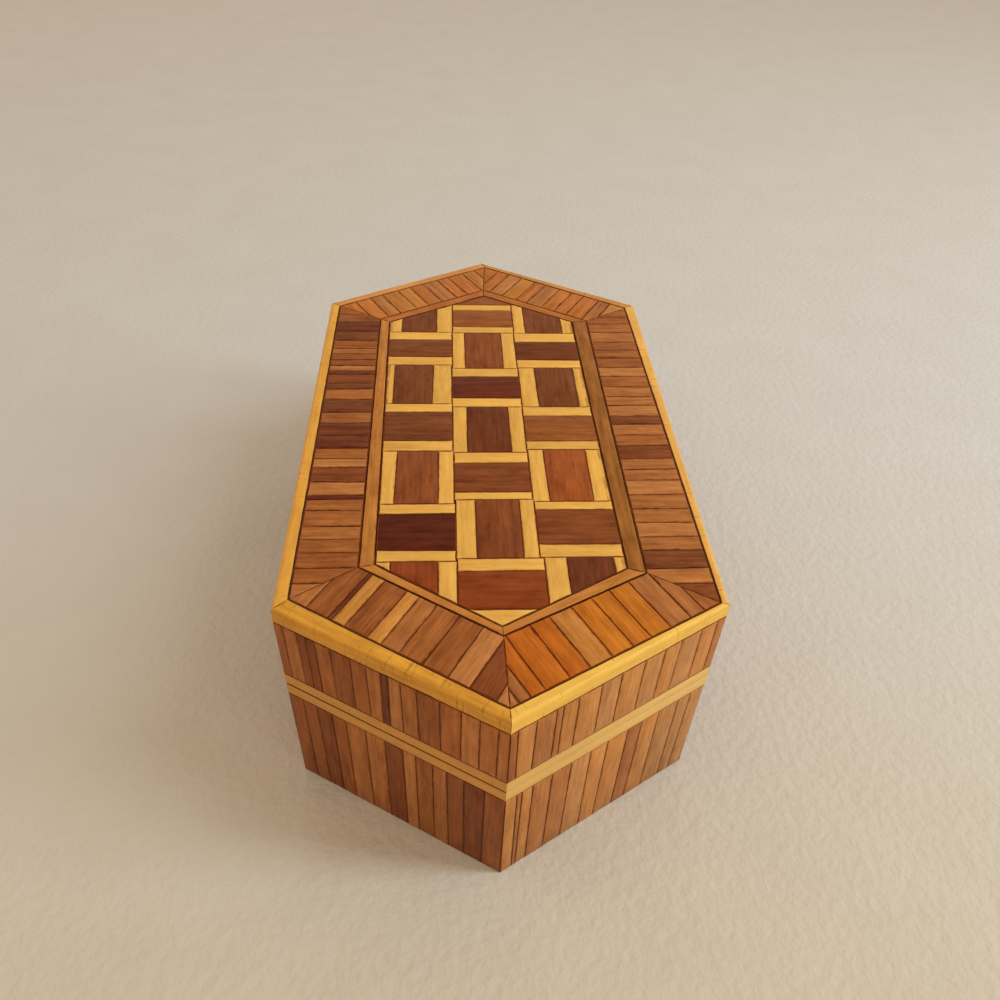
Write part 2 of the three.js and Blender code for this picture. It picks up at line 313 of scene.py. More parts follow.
# The photograph's view: a pinhole fitted to the box's corners, in millimetres from the middle of the lid's
# top, with the focal length as a share of the picture's width
PHOTO_FOCAL = 0.8509
SENSOR_WIDTH = 36
CLIP_RANGE = (0.005, 20)
CAMERA_ELEVATION = math.radians(42.18)
CAMERA_AZIMUTH = math.radians(-4.52)
CAMERA_ROLL = math.radians(2.73)
CAMERA_SPOT = Vector((-6.9, -111.5, 84.5))


def plan_sizes():
    """Sizes of the plan in millimetres, read from the frame's own solids."""
    low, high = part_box("body_joint_band")
    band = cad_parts["body_joint_band"].data.vertices
    shoulder = max(v.co.y for v in band if v.co.x > high.x - HAIR * MM)
    return high.x / MM, shoulder / MM, high.y / MM


HALF_WIDTH, SHOULDER, TIP = plan_sizes()
END_ANGLE = math.atan2(TIP - SHOULDER, HALF_WIDTH)


def level(node, top=True):
    """Height of a node's top or bottom, in millimetres."""
    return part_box(node)[1 if top else 0].z / MM


def inset_of(node):
    """How far a node's outline is in from the outside, in millimetres."""
    return HALF_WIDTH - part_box(node)[1].x / MM


TOP = level("lid_edging")
STRIP_THICKNESS = (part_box("body_strips_right")[1].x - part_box("body_strips_right")[0].x) / MM
GLUE_LINE = inset_of("base_board") - STRIP_THICKNESS
CROSSBAND_INSET = inset_of("lid_crossband_right")
CROSSBAND_WIDTH = (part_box("lid_crossband_right")[1].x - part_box("lid_crossband_right")[0].x) / MM
EDGING_WIDTH = CROSSBAND_INSET - GLUE_LINE
EDGING_OUTSIDE = EDGING_WIDTH / 4
STRINGING_INSET = inset_of("lid_stringing")
FIELD_INSET = inset_of("lid_tile_b3")
REACH = GLUE_LINE / 2

# Distance from the outside to the middle of the seam along the inner edge of each ring
RING_SEAMS = {
    "edging": CROSSBAND_INSET - REACH,
    "crossband": STRINGING_INSET - REACH,
    "stringing": FIELD_INSET - REACH,
}


def left_of(way):
    """The direction to the left of another on the plan."""
    return Vector((-way.y, way.x))


def right_of(way):
    """The direction to the right of another on the plan."""
    return Vector((way.y, -way.x))


def hexagon(inset):
    """Corners of the plan moved in by inset, counterclockwise from the near point."""
    half = HALF_WIDTH - inset
    tip = TIP - inset / math.cos(END_ANGLE)
    shoulder = tip - half * math.tan(END_ANGLE)
    points = [(0, -tip), (half, -shoulder), (half, shoulder), (0, tip), (-half, shoulder), (-half, -shoulder)]
    return [Vector(point) for point in points]


def ring_line(ring, offset):
    """Corners of the seam along the inner edge of a ring, as it strays, moved in by offset."""
    corners = hexagon(RING_SEAMS[ring] + offset)
    return [corner + Vector(stray) for corner, stray in zip(corners, RING_STRAY[ring])]


def panel(side, outer, inner):
    """One side's part of a ring between two lines: outer start and end, inner end and start."""
    after = (side + 1) % len(outer)
    return [outer[side], outer[after], inner[after], inner[side]]


def strip_edges(length, nominal, phase, widths=None):
    """Places of the seams along a row of strips, both ends included."""
    count = max(1, round(length / nominal))
    shares = widths or [1 + STRIP_SPREAD * math.sin(STRIP_BEAT * i + phase) for i in range(count)]
    total = sum(shares)
    edges = [0.0]
    for share in shares:
        edges.append(edges[-1] + length * share / total)
    return edges


def row_woods(woods, name, count, turn):
    """Wood of each strip of a row: as listed, or going through the loose stock."""
    if name in woods:
        listed = woods[name].split()
        return [listed[i % len(listed)] for i in range(count)]
    return [LOOSE_WOODS[(i * LOOSE_STEP + turn * LOOSE_TURN) % len(LOOSE_WOODS)] for i in range(count)]


def linear(colour):
    """Linear values of an sRGB colour in bytes, by the standard's own curve."""
    shares = [channel / 255 for channel in colour]
    return [c / 12.92 if c <= 0.04045 else ((c + 0.055) / 1.055) ** 2.4 for c in shares]


def clip_polygon(polygon, point, direction):
    """The part of a convex polygon on the left of the line through point along direction."""
    kept = []
    for here, there in zip(polygon, polygon[1:] + polygon[:1]):
        here_left = direction.x * (here.y - point.y) - direction.y * (here.x - point.x)
        there_left = direction.x * (there.y - point.y) - direction.y * (there.x - point.x)
        if here_left >= 0:
            kept.append(here)
        if here_left * there_left < 0:
            kept.append(here.lerp(there, here_left / (here_left - there_left)))
    return kept


def clip_to(polygon, outline):
    """The part of a convex polygon inside a convex counterclockwise outline."""
    for start, end in zip(outline, outline[1:] + outline[:1]):
        polygon = clip_polygon(polygon, start, (end - start).normalized())
    return polygon


def shrink(polygon, distance):
    """Convex counterclockwise polygon with every edge moved in by distance."""
    result = polygon
    for start, end in zip(polygon, polygon[1:] + polygon[:1]):
        along = (end - start).normalized()
        result = clip_polygon(result, start + left_of(along) * distance, along)
    return result


class LidGround:
    """The lid's top, where pieces lie flat on a bottom level: flat x and y are the plan's own."""

    glue = INLAY_GLUE

    def __init__(self, bottom):
        self.bottom = bottom
        self.depth = TOP - bottom

    def base(self, point):
        return Vector((point.x, point.y, self.bottom))

    def up(self, point):
        return Vector((0, 0, 1))


class SideGround:
    """One outer side: flat x runs along its face from its first corner, and flat y is the height.
    Pieces get narrower towards their base, so that the rows of two sides meet in a mitre."""

    depth = STRIP_THICKNESS
    glue = SIDE_GLUE

    def __init__(self, side):
        start, end, inner_end, inner_start = panel(side, hexagon(0), hexagon(STRIP_THICKNESS))
        self.start = start
        self.length = (end - start).length
        self.along = (end - start).normalized()
        self.outward = right_of(self.along)
        self.inner_low = (inner_start - start).dot(self.along)
        self.inner_high = (inner_end - start).dot(self.along)

    def base_x(self, x):
        return self.inner_low + x / self.length * (self.inner_high - self.inner_low)

    def base(self, point):
        spot = self.start + self.along * self.base_x(point.x) - self.outward * STRIP_THICKNESS
        return Vector((spot.x, spot.y, point.y))

    def up(self, point):
        slide = (point.x - self.base_x(point.x)) / STRIP_THICKNESS
        rise = self.outward + self.along * slide
        return Vector((rise.x, rise.y, 0))


INLAY_GROUND = LidGround(level("lid_stringing", top=False))
EDGING_GROUND = LidGround(level("lid_edging", top=False))


# What the blank tree reads from each corner of an outline, and what of it the finished piece keeps
CORNER_VALUES = {
    "rise": "FLOAT_VECTOR", "inward": "FLOAT_VECTOR", "rounding": "FLOAT", "sink": "FLOAT",
    "across": "FLOAT_VECTOR", "along": "FLOAT_VECTOR", "centre": "FLOAT_VECTOR",
    "tone": "FLOAT_COLOR", "strip": "FLOAT_VECTOR",
}
KEPT_VALUES = ("tone", "strip")
VALUE_FIELDS = {"FLOAT": "value", "FLOAT_VECTOR": "vector", "FLOAT_COLOR": "color"}

# The glue is a strip so wide that its middle has no sawn edge: half its width, and its two lots
GLUE_STRIP = (9.0, 0.3, 0.6)


class VeneerSheet:
    """Flat outlines of veneer pieces, with what the blank tree reads from each of their corners."""

    def __init__(self, name, ground):
        self.name = name
        self.ground = ground
        self.points = []
        self.faces = []
        self.values = {key: [] for key in CORNER_VALUES}
        self.random = random.Random(name)

    def add(self, outline, along, wood, axis=None, half_width=None, rounding=STRIP_ROUNDING, inward=None,
            shade=None, planed=False):
        """Adds a piece of veneer. outline is its face, counterclockwise seen from outside, and along the way
        of its grain. Its middle line goes through axis, and its sawn edges are half_width to both sides of
        that. rounding and inward, where given, tell how far and which way the edge at a point is rounded, and
        shade what share of the wood's lightness is left there. A planed piece keeps its outline."""
        outline = outline if planed else self.roughen(outline)
        middle = sum(outline, Vector((0, 0))) / len(outline)
        axis = axis or middle
        across = right_of(along)
        half_width = half_width or max(abs((point - axis).dot(across)) for point in outline)
        value = 1 + self.random.uniform(-TONE_SPREAD, TONE_SPREAD)
        shades = [value * shade(point) if shade else value for point in outline]
        tones = [[min(1, channel * s) for channel in linear(WOODS[wood])] + [1.0] for s in shades]
        strip = (half_width, self.random.random(), self.random.random())
        self.store(outline, along, axis, tones, strip, rounding, inward)

    def add_glue(self, outline):
        """Adds the dark glue that fills the seams under a whole outline."""
        along = (outline[1] - outline[0]).normalized()
        tones = [linear(self.ground.glue) + [1.0]] * len(outline)
        self.store(outline, along, outline[0], tones, GLUE_STRIP, sink=GLUE_DEPTH)

    def store(self, outline, along, axis, tones, strip, rounding=0.0, inward=None, sink=0.0):
        """Keeps an outline with the values of its corners."""
        face = self.face_point
        across = right_of(along)
        across_3d = (face(axis + across) - face(axis)).normalized()
        along_3d = (face(axis + along) - face(axis)).normalized()
        after = outline[1:] + outline[:1]
        first = len(self.points)
        for i, point in enumerate(outline):
            way_in = inward(point) if inward else self.corner_way(outline[i - 1], point, after[i])
            corner = {
                "rise": self.ground.up(point),
                "inward": face(point + way_in) - face(point),
                "rounding": (rounding(point) if callable(rounding) else rounding) * MM,
                "sink": sink * MM,
                "across": across_3d,
                "along": along_3d,
                "centre": face(axis) * MM,
                "tone": tones[i],
                "strip": strip,
            }
            for key, value in corner.items():
                self.values[key].append(value)
            self.points.append(self.ground.base(point))
        self.faces.append(list(range(first, len(self.points))))

    def face_point(self, point):
        return self.ground.base(point) + self.ground.up(point) * self.ground.depth

    def roughen(self, outline):
        """Takes half a seam off an outline and lets its edges wander inwards, as a hand saw leaves them."""
        corners = shrink(outline, SEAM / 2)
        shift = self.random.uniform(0, NOISE_SPAN)
        rough = []
        for start, end in zip(corners, corners[1:] + corners[:1]):
            steps = max(1, round((end - start).length / EDGE_STEP))
            direction = (end - start).normalized()
            inward = left_of(direction)
            for step in range(steps):
                point = start.lerp(end, step / steps)
                if step:
                    spot = Vector((point.x * WANDER_TURNS, point.y * WANDER_TURNS, shift))
                    wave = 0.5 + 0.5 * noise.noise(spot)
                    point = point + inward * EDGE_WANDER * wave
                rough.append(point)
        return rough

    @staticmethod
    def corner_way(before, point, after):
        """Offset of a corner when both its edges move in by one millimetre."""
        into = (point - before).normalized()
        out = (after - point).normalized()
        both = left_of(into) + left_of(out)
        return both / max(SHARPEST_CORNER, both.dot(left_of(into)))

    def mesh(self):
        """Flat mesh in metres, with the values as point attributes."""
        mesh = bpy.data.meshes.new(self.name + "_outlines")
        mesh.from_pydata([point * MM for point in self.points], [], self.faces)
        for key, values in self.values.items():
            kind = CORNER_VALUES[key]
            flat = values if kind == "FLOAT" else [part for value in values for part in value]
            mesh.attributes.new(key, kind, "POINT").data.foreach_set(VALUE_FIELDS[kind], flat)
        return mesh


NODE_SPACING = 200


class Tree:
    """Small helper that adds nodes and links to a node tree."""

    def __init__(self, tree):
        self.tree = tree
        self.column = 0

    def node(self, kind, inputs=(), **settings):
        """Adds a node with its settings, and with inputs by name or number: values or sockets."""
        node = self.tree.nodes.new(kind)
        node.location = (self.column, 0)
        self.column += NODE_SPACING
        for key, value in settings.items():
            setattr(node, key, value)
        for key, value in dict(inputs).items():
            if isinstance(value, bpy.types.NodeSocket):
                self.link(value, node.inputs[key])
            else:
                node.inputs[key].default_value = value
        return node

    def link(self, source, target):
        self.tree.links.new(source, target)

    def math(self, operation, *inputs):
        return self.node("ShaderNodeMath", enumerate(inputs), operation=operation).outputs[0]

    def vector_math(self, operation, *inputs):
        output = "Value" if operation == "DOT_PRODUCT" else "Vector"
        return self.node("ShaderNodeVectorMath", enumerate(inputs), operation=operation).outputs[output]

    def scaled(self, vector, factor):
        node = self.node("ShaderNodeVectorMath", {0: vector, "Scale": factor}, operation="SCALE")
        return node.outputs["Vector"]

    def split(self, vector):
        return self.node("ShaderNodeSeparateXYZ", {0: vector}).outputs[:]

    def combined(self, *parts):
        return self.node("ShaderNodeCombineXYZ", enumerate(parts)).outputs[0]

    def noise(self, vector, scale, detail, rough=0.5):
        inputs = {"Vector": vector, "Scale": scale, "Detail": detail, "Roughness": rough}
        return self.node("ShaderNodeTexNoise", inputs).outputs["Fac"]

    def strayed(self, value, pattern, share):
        """A value moved up and down by a share of a noise pattern."""
        return self.math("MULTIPLY_ADD", self.math("SUBTRACT", pattern, 0.5), share, value)

    def mixed(self, share, *colours):
        """Mix of two colours, each an sRGB one or a socket."""
        inputs = {"Factor": share}
        for key, colour in zip("AB", colours):
            inputs[key] = colour if isinstance(colour, bpy.types.NodeSocket) else linear(colour) + [1]
        return self.node("ShaderNodeMix", inputs, data_type="RGBA").outputs["Result"]

    def ramp(self, value, low, high):
        """Smooth step from 0 at low to 1 at high."""
        inputs = {"Value": value, "From Min": low, "From Max": high}
        return self.node("ShaderNodeMapRange", inputs, interpolation_type="SMOOTHSTEP").outputs["Result"]


# Inputs of the blank tree, and the distance within which its points are merged, in metres
BLANK_INPUTS = {
    "Geometry": "NodeSocketGeometry",
    "Thickness": "NodeSocketFloat",
    "Unevenness": "NodeSocketFloat",
    "Seed": "NodeSocketInt",
    "Material": "NodeSocketMaterial",
}
MERGE_REACH = 1e-7


def corner_value(t, key):
    """A value that the sheet stores on its corners."""
    node = t.node("GeometryNodeInputNamedAttribute", {"Name": key}, data_type=CORNER_VALUES[key])
    return node.outputs["Attribute"]


def blank_height(t, given):
    """Height of each face: the thickness less the strip's lot of unevenness, and less how far it is sunk."""
    lot_share = t.vector_math("DOT_PRODUCT", corner_value(t, "strip"), (0.0, 1.0, 0.0))
    inputs = {"ID": t.math("MULTIPLY", lot_share, LOTS), "Seed": given.outputs["Seed"]}
    lot = t.node("FunctionNodeRandomValue", inputs, data_type="FLOAT").outputs["Value"]
    uneven = t.math("MULTIPLY", lot, given.outputs["Unevenness"])
    return t.math("SUBTRACT", given.outputs["Thickness"], t.math("ADD", uneven, corner_value(t, "sink")))


def raise_outlines(t, outlines, height, steps):
    """Raises flat outlines to their height, with the upper edges rounded in steps."""
    rise = corner_value(t, "rise")
    inward = corner_value(t, "inward")
    rounding = corner_value(t, "rounding")
    solid = outlines
    selection = {}
    done_height = 0.0
    done_inset = 0.0
    for step in range(steps + 1):
        angle = math.pi / 2 * step / steps
        reach = t.math("MULTIPLY_ADD", rounding, math.sin(angle) - 1, height)
        inset = t.math("MULTIPLY", rounding, 1 - math.cos(angle))
        inputs = {"Mesh": solid, "Offset Scale": 0.0, "Individual": False, **selection}
        extrude = t.node("GeometryNodeExtrudeMesh", inputs, mode="FACES")
        selection = {"Selection": extrude.outputs["Top"]}
        up = t.scaled(rise, t.math("SUBTRACT", reach, done_height))
        sideways = t.scaled(inward, t.math("SUBTRACT", inset, done_inset))
        offset = t.vector_math("ADD", up, sideways)
        inputs = {"Geometry": extrude.outputs["Mesh"], "Offset": offset, **selection}
        solid = t.node("GeometryNodeSetPosition", inputs).outputs["Geometry"]
        done_height = reach
        done_inset = inset
    return solid


def close_underside(t, solid, outlines):
    """Closes the raised blanks with their own outlines, turned face down."""
    underside = t.node("GeometryNodeFlipFaces", {"Mesh": outlines}).outputs["Mesh"]
    join = t.node("GeometryNodeJoinGeometry", {"Geometry": solid})
    t.link(underside, join.inputs["Geometry"])
    inputs = {"Geometry": join.outputs["Geometry"], "Distance": MERGE_REACH}
    return t.node("GeometryNodeMergeByDistance", inputs).outputs["Geometry"]


def store_grain(t, blanks):
    """Stores where each point is in its strip, in millimetres: across it, along it and above its face."""
    position = t.node("GeometryNodeInputPosition").outputs["Position"]
    from_centre = t.vector_math("SUBTRACT", position, corner_value(t, "centre"))
    across = corner_value(t, "across")
    along = corner_value(t, "along")
    outward = t.vector_math("NORMALIZE", t.vector_math("CROSS_PRODUCT", across, along))
    grain = t.combined(*(t.vector_math("DOT_PRODUCT", from_centre, way) for way in (across, along, outward)))
    inputs = {"Name": "grain", "Geometry": blanks, "Value": t.scaled(grain, 1 / MM)}
    store = t.node("GeometryNodeStoreNamedAttribute", inputs, data_type="FLOAT_VECTOR", domain="POINT")
    return store.outputs["Geometry"]


def blank_tree(name, steps):
    """Tree that makes veneer blanks of flat outlines, with their grain's coordinates and their finish."""
    tree = bpy.data.node_groups.new(name, "GeometryNodeTree")
    for socket, kind in BLANK_INPUTS.items():
        tree.interface.new_socket(socket, in_out="INPUT", socket_type=kind)
    tree.interface.new_socket("Geometry", in_out="OUTPUT", socket_type="NodeSocketGeometry")
    t = Tree(tree)
    given = t.node("NodeGroupInput")
    outlines = given.outputs["Geometry"]
    raised = raise_outlines(t, outlines, blank_height(t, given), steps)
    blanks = store_grain(t, close_underside(t, raised, outlines))
    realized = t.node("GeometryNodeRealizeInstances", {"Geometry": blanks}).outputs["Geometry"]
    inputs = {"Geometry": realized, "Material": given.outputs["Material"]}
    painted = t.node("GeometryNodeSetMaterial", inputs).outputs["Geometry"]
    t.node("NodeGroupOutput", {"Geometry": painted})
    return tree


def add_object(name, data):
    """Puts a mesh, a camera or a light into the scene."""
    piece = bpy.data.objects.new(name, data)
    bpy.context.scene.collection.objects.link(piece)
    return piece


def make_blanks(sheet, tree, uneven, material):
    """Runs the blank tree on a sheet of outlines and keeps the result as a plain mesh."""
    flat = add_object(sheet.name + "_outlines", sheet.mesh())
    modifier = flat.modifiers.new("blanks", "NODES")
    modifier.node_group = tree
    given = {
        item.name: item.identifier
        for item in tree.interface.items_tree
        if item.item_type == "SOCKET" and item.in_out == "INPUT"
    }
    modifier[given["Thickness"]] = sheet.ground.depth * MM
    modifier[given["Unevenness"]] = uneven * MM
    modifier[given["Seed"]] = SEED
    modifier[given["Material"]] = material
    graph = bpy.context.evaluated_depsgraph_get()
    mesh = bpy.data.meshes.new_from_object(flat.evaluated_get(graph))
    mesh.name = sheet.name
    bpy.data.objects.remove(flat)
    for key in CORNER_VALUES:
        if key in mesh.attributes and key not in KEPT_VALUES:
            mesh.attributes.remove(mesh.attributes[key])
    mesh.shade_smooth()
    mesh.set_sharp_from_angle(angle=SHARP_ANGLE)
    return add_object(sheet.name, mesh)


def carry(piece, slot, *nodes):
    """The piece rides on the box and stands for its nodes. slot is not used."""
    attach(piece, "root")
    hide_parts(*nodes)


def leaning_seams(sheet, edges):
    """Offsets of each seam's two ends: the strips of a row are never quite parallel."""
    inner = [(sheet.random.uniform(-LEAN, LEAN), sheet.random.uniform(-LEAN, LEAN)) for _ in edges[1:-1]]
    return [(0, 0)] + inner + [(0, 0)]


def upright_row(sheet, low, high, edges, woods, painted_foot_shade):
    """Upright strips of one side."""
    sheet.add_glue(rectangle(0, sheet.ground.length, low, high + REACH))
    leans = leaning_seams(sheet, edges)

    # Painted shade: each strip darkens towards the body's foot
    def shade(point):
        return 1 - painted_foot_shade * (high - point.y) / (high - low)

    for wood, start, end, lean, next_lean in zip(woods, edges, edges[1:], leans, leans[1:]):
        outline = [
            Vector((start + lean[0], low)),
            Vector((end + next_lean[0], low)),
            Vector((end + next_lean[1], high)),
            Vector((start + lean[1], high)),
        ]
        middle = Vector(((start + end) / 2, (low + high) / 2))
        sheet.add(outline, Vector((0, 1)), wood, axis=middle, half_width=(end - start) / 2, shade=shade)


def make_side_rows(trees, material):
    """All upright strips of the body and the lid, one piece for each side of each."""
    kinds = [("body", BODY_ROWS, BODY_WOODS, 0, 0, PAINTED_FOOT_SHADE), ("lid", LID_ROWS, LID_WOODS, LID_PHASE, 1, 0)]
    for kind, rows, woods, phase, turn, painted_foot_shade in kinds:
        for side, name in enumerate(SIDES):
            node = f"{kind}_strips_{name}"
            sheet = VeneerSheet(f"{kind}_veneer_{name}", SideGround(side))
            edges = strip_edges(sheet.ground.length, SIDE_STRIP_WIDTH, side + phase, rows.get(name))
            names = row_woods(woods, name, len(edges) - 1, side + turn)
            upright_row(sheet, level(node, top=False), level(node), edges, names, painted_foot_shade)
            carry(make_blanks(sheet, trees["strip"], UNEVEN, material), "side_strips", node)


def crossband_row(sheet, side, edges, woods):
    """Short strips of the lid's crossband on one side, cut to its mitres."""
    band = panel(side, ring_line("edging", REACH), ring_line("crossband", -REACH))
    sheet.add_glue(panel(side, ring_line("edging", 0), ring_line("crossband", 0)))
    start = band[0]
    along = (band[1] - start).normalized()
    inward = left_of(along)
    leans = leaning_seams(sheet, edges)
    outer = -OVERHANG * inward
    inner = (CROSSBAND_WIDTH + OVERHANG) * inward
    sawn = [edges[0] - OVERHANG, *edges[1:-1], edges[-1] + OVERHANG]
    for i, wood in enumerate(woods):
        outline = [
            start + along * (sawn[i] + leans[i][0]) + outer,
            start + along * (sawn[i + 1] + leans[i + 1][0]) + outer,
            start + along * (sawn[i + 1] + leans[i + 1][1]) + inner,
            start + along * (sawn[i] + leans[i][1]) + inner,
        ]
        outline = clip_to(outline, band)
        if len(outline) > 2:
            middle = start + along * (edges[i] + edges[i + 1]) / 2
            sheet.add(outline, inward, wood, axis=middle, half_width=(edges[i + 1] - edges[i]) / 2)


def make_crossband(trees, material):
    """The crossband, one piece for each side."""
    for side, name in enumerate(SIDES):
        start, end, _, _ = panel(side, ring_line("edging", REACH), ring_line("crossband", -REACH))
        phase = side + CROSSBAND_PHASE
        edges = strip_edges((end - start).length, CROSS_STRIP_WIDTH, phase, CROSSBAND_ROWS.get(name))
        sheet = VeneerSheet(f"crossband_veneer_{name}", INLAY_GROUND)
        crossband_row(sheet, side, edges, row_woods(CROSSBAND_WOODS, name, len(edges) - 1, side))
        carry(make_blanks(sheet, trees["strip"], UNEVEN, material), "crossband", f"lid_crossband_{name}")


def make_stringing(trees, material):
    """Six narrow strips between crossband and basket weave, mitred at the corners."""
    sheet = VeneerSheet("stringing_strips", INLAY_GROUND)
    for side, wood in enumerate(STRINGING_WOODS):
        outline = panel(side, ring_line("crossband", REACH), ring_line("stringing", -REACH))
        sheet.add_glue(panel(side, ring_line("crossband", 0), ring_line("stringing", 0)))
        sheet.add(outline, (outline[1] - outline[0]).normalized(), wood)
    carry(make_blanks(sheet, trees["strip"], UNEVEN / 2, material), "stringing", "lid_stringing")


def edging_strip(sheet, side, wood):
    """One side's strip of the edging, rounded along the outside and mitred at both ends."""
    outline = panel(side, hexagon(0), ring_line("edging", -REACH))
    start, end, inner_end, inner_start = outline
    length = (end - start).length
    along = (end - start) / length
    inward = left_of(along)
    mitre_start = (inner_start - start) / (inner_start - start).dot(inward)
    mitre_end = (inner_end - end) / (inner_end - end).dot(inward)

    def outside(point):
        return (point - start).dot(inward) < EDGING_OUTSIDE

    def rounding(point):
        return EDGING_ROUNDING if outside(point) else STRIP_ROUNDING

    def turn_in(point):
        way = mitre_start.lerp(mitre_end, (point - start).dot(along) / length)
        return way if outside(point) else -way

    sheet.add_glue(panel(side, hexagon(EDGING_OUTSIDE), ring_line("edging", 0)))
    # Its sawn edges count as far off, so that the glue's stain stays off the edging
    far_off = 2 * EDGING_WIDTH
    sheet.add(outline, along, wood, axis=start, half_width=far_off, rounding=rounding, inward=turn_in)


def make_edging(trees, material):
    """Light edging round the lid's top."""
    sheet = VeneerSheet("edging_strips", EDGING_GROUND)
    for side, wood in enumerate(EDGING_WOODS):
        edging_strip(sheet, side, wood)
    carry(make_blanks(sheet, trees["edging"], 0, material), "boxwood", "lid_edging")


def make_joint_bands(trees, material):
    """Light strips along both edges of the joint, which shows only where the lid stays up a little."""
    middle = (level("body_joint_band") + level("lid_joint_band", top=False)) / 2
    for kind in ("body", "lid"):
        node = f"{kind}_joint_band"
        for side, name in enumerate(SIDES):
            sheet = VeneerSheet(f"{kind}_joint_{name}", SideGround(side))
            length = sheet.ground.length
            if kind == "body":
                low = [level(node, top=False)] * 2
                high = [middle - gap / 2 for gap in JOINT_GAPS[side]]
            else:
                low = [middle + gap / 2 for gap in JOINT_GAPS[side]]
                high = [level(node)] * 2
            outline = [
                Vector((0, low[0])),
                Vector((length, low[1])),
                Vector((length, high[1])),
                Vector((0, high[0])),
            ]
            sheet.add(outline, Vector((1, 0)), JOINT_WOODS[side], half_width=length, planed=True)
            carry(make_blanks(sheet, trees["strip"], 0, material), "boxwood", node)


def rectangle(x0, x1, y0, y1):
    """Corners of an upright rectangle, counterclockwise."""
    return [Vector((x0, y0)), Vector((x1, y0)), Vector((x1, y1)), Vector((x0, y1))]


def make_tile(name, low, high, room, runs_along, lights, woods):
    """One tile of the weave, a dark block between two light strips, which run along the box or across it.
    low and high are its corners, and it fills what is left of its room inside the stringing."""
    sheet = VeneerSheet(f"tile_{name}", INLAY_GROUND)
    sheet.add_glue(clip_to(room, ring_line("stringing", 0)))
    outline = clip_to(shrink(room, REACH / 2), ring_line("stringing", REACH))
    along = Vector((0, 1)) if runs_along else Vector((1, 0))
    across = Vector((1, 0)) if runs_along else Vector((0, 1))
    width = (high - low).dot(across)
    seams = [lights[0], width - lights[1]]
    leans = [(along + across * sheet.random.uniform(-TILE_LEAN, TILE_LEAN)).normalized() for _ in seams]
    # A clip keeps what is left of a seam: before it where the strips run along the box, and past it elsewhere
    before = 1 if runs_along else -1
    sides_kept = [(before, before), (-before, before), (-before, -before)]
    edges = [0, *seams, width]
    middle = low + along * (high - low).dot(along) / 2
    for i, wood in enumerate(woods):
        strip = outline
        for seam, lean, way in zip(seams, leans, sides_kept[i]):
            strip = clip_polygon(strip, middle + across * seam, lean * way)
        if len(strip) > 2:
            axis = middle + across * (edges[i] + edges[i + 1]) / 2
            sheet.add(strip, along, wood, axis=axis, half_width=(edges[i + 1] - edges[i]) / 2)
    return sheet


def weave_seams():
    """Places of the seams between the weave's rows, in each column, and between its columns, in each row."""
    half_field = HALF_WIDTH - FIELD_INSET
    column_step = 2 * half_field / len(TILE_LIGHTS[0])
    row_step = (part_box("lid_tile_c2")[0].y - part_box("lid_tile_b2")[0].y) / MM
    first_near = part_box("lid_tile_b2")[0].y / MM - REACH - row_step
    row_seams = [[first_near + i * row_step + stray for stray in row] for i, row in enumerate(ROW_STRAY)]
    column_seams = [
        [i * column_step - half_field + stray for i, stray in enumerate(row)]
        for row in COLUMN_STRAY
    ]
    return row_seams, column_seams


def make_tiles(trees, material):
    """The basket weave. Tiles run along the box where row and column add up to an even number, and across it
    on the rest. The outer ones are left larger than their place, and cut to the stringing."""
    row_seams, column_seams = weave_seams()
    last = len(TILE_LIGHTS[0]) - 1
    for row, blocks in enumerate(TILE_WOODS):
        for column, block in enumerate(blocks.split()):
            name = f"{TILE_ROWS[row]}{column + 1}"
            low = Vector((column_seams[row][column], row_seams[row][column]))
            high = Vector((column_seams[row][column + 1], row_seams[row + 1][column]))
            room = rectangle(
                low.x - (0 if column else OVERHANG),
                high.x + (OVERHANG if column == last else 0),
                low.y if row else -TIP,
                high.y,
            )
            runs_along = (row + column) % 2 == 0
            woods = (TILE_LIGHT_WOOD, block, TILE_LIGHT_WOOD)
            sheet = make_tile(name, low, high, room, runs_along, TILE_LIGHTS[row][column], woods)
            carry(make_blanks(sheet, trees["strip"], UNEVEN, material), "tiles", f"lid_tile_{name}")
    make_far_tip(trees, material, row_seams[-1][0])


def make_far_tip(trees, material, end):
    """The small piece that fills the far point past the end of the weave."""
    half_field = HALF_WIDTH - FIELD_INSET
    sheet = VeneerSheet("far_tip_veneer", INLAY_GROUND)
    sheet.add_glue(clip_to(rectangle(-half_field, half_field, end, TIP), ring_line("stringing", 0)))
    blank = rectangle(-half_field, half_field, end + REACH / 2, TIP)
    sheet.add(clip_to(blank, ring_line("stringing", REACH)), Vector((1, 0)), FAR_TIP_WOOD)
    carry(make_blanks(sheet, trees["strip"], UNEVEN, material), "tiles", "lid_far_tip")


def new_material(name):
    """A material, the helper for its nodes, and its shader."""
    material = bpy.data.materials.new(name)
    material.use_nodes = True
    return material, Tree(material.node_tree), material.node_tree.nodes["Principled BSDF"]


def add_relief(t, shader, height, strength, depth):
    """Fine relief of a surface, as deep as depth in millimetres."""
    bump = t.node("ShaderNodeBump", {"Strength": strength, "Distance": depth * MM, "Height": height})
    t.link(bump.outputs["Normal"], shader.inputs["Normal"])


def grain_pattern(t, spot, kind):
    """Noise that is stretched along the grain."""
    across_turns, along_turns, detail, rough = PATTERNS[kind]
    stretched = t.vector_math("MULTIPLY", spot, (across_turns, along_turns, across_turns))
    return t.noise(stretched, 1.0, detail, rough)


